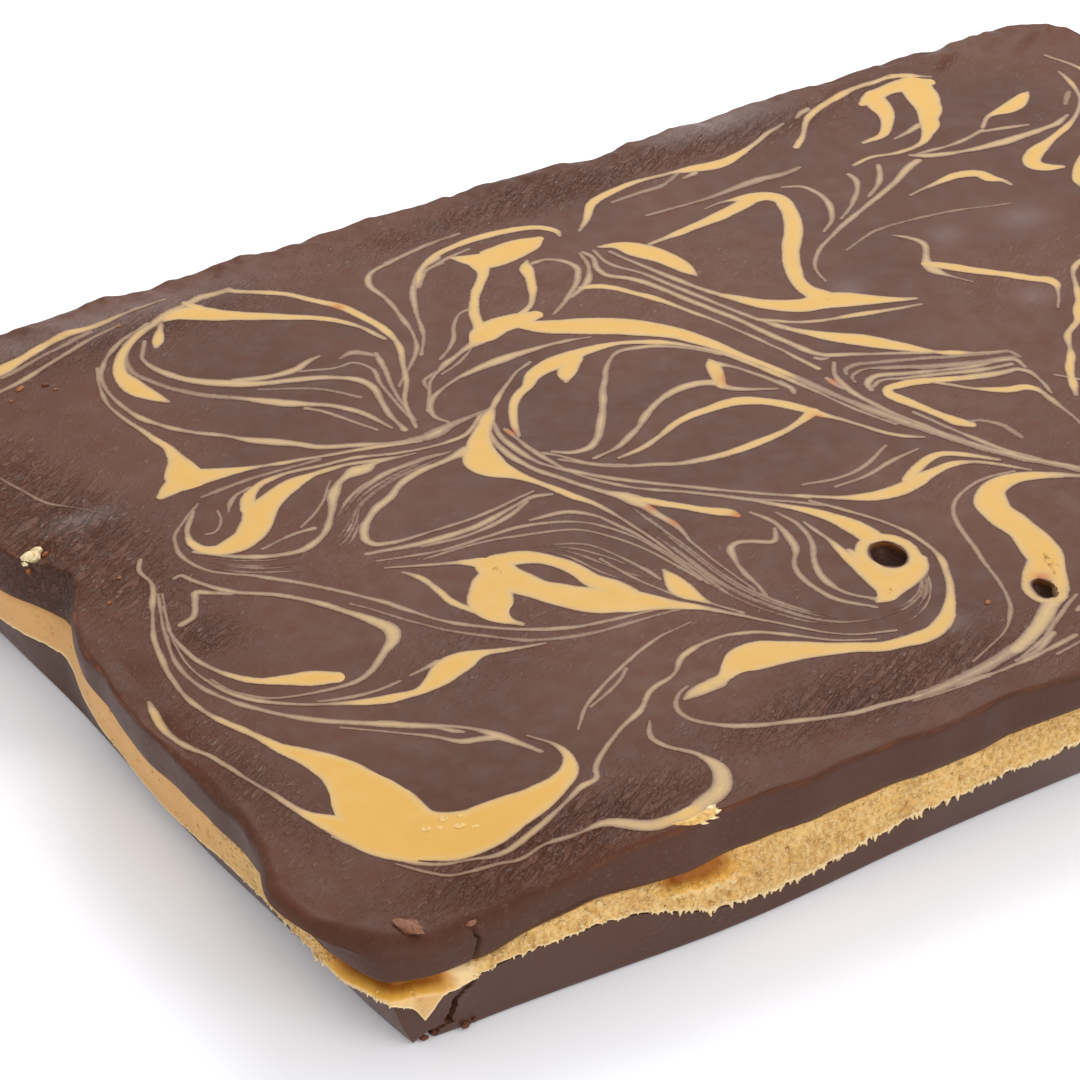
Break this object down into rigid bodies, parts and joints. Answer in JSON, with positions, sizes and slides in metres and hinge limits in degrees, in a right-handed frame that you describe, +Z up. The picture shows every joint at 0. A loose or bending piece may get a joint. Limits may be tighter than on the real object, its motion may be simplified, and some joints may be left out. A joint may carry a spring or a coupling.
{
  "type": "fudge slab",
  "caption": "Flat rectangular slab of fudge: chocolate base and top with a tan nut filling between, rounded rim, folded sides, golden marbling swirled into the top face.",
  "frame": {"origin": "on the floor under the centre of the slab's outline", "axes": "+X along the long side, +Y along the short side away from the front, +Z up from the underside to the marbled face"},
  "size_m": [0.3376, 0.2264, 0.0297],
  "materials": {
    "chocolate_base": "satin dark chocolate fudge",
    "nut_filling": "matt grainy nut filling",
    "chocolate_top": "satin milk chocolate fudge",
    "nut_swirl": "satin golden swirl"
  },
  "bodies": {
    "root": {"base_layer": "chocolate_base", "filling_layer": "nut_filling", "top_layer": "chocolate_top"}
  },
  "joints": []
}
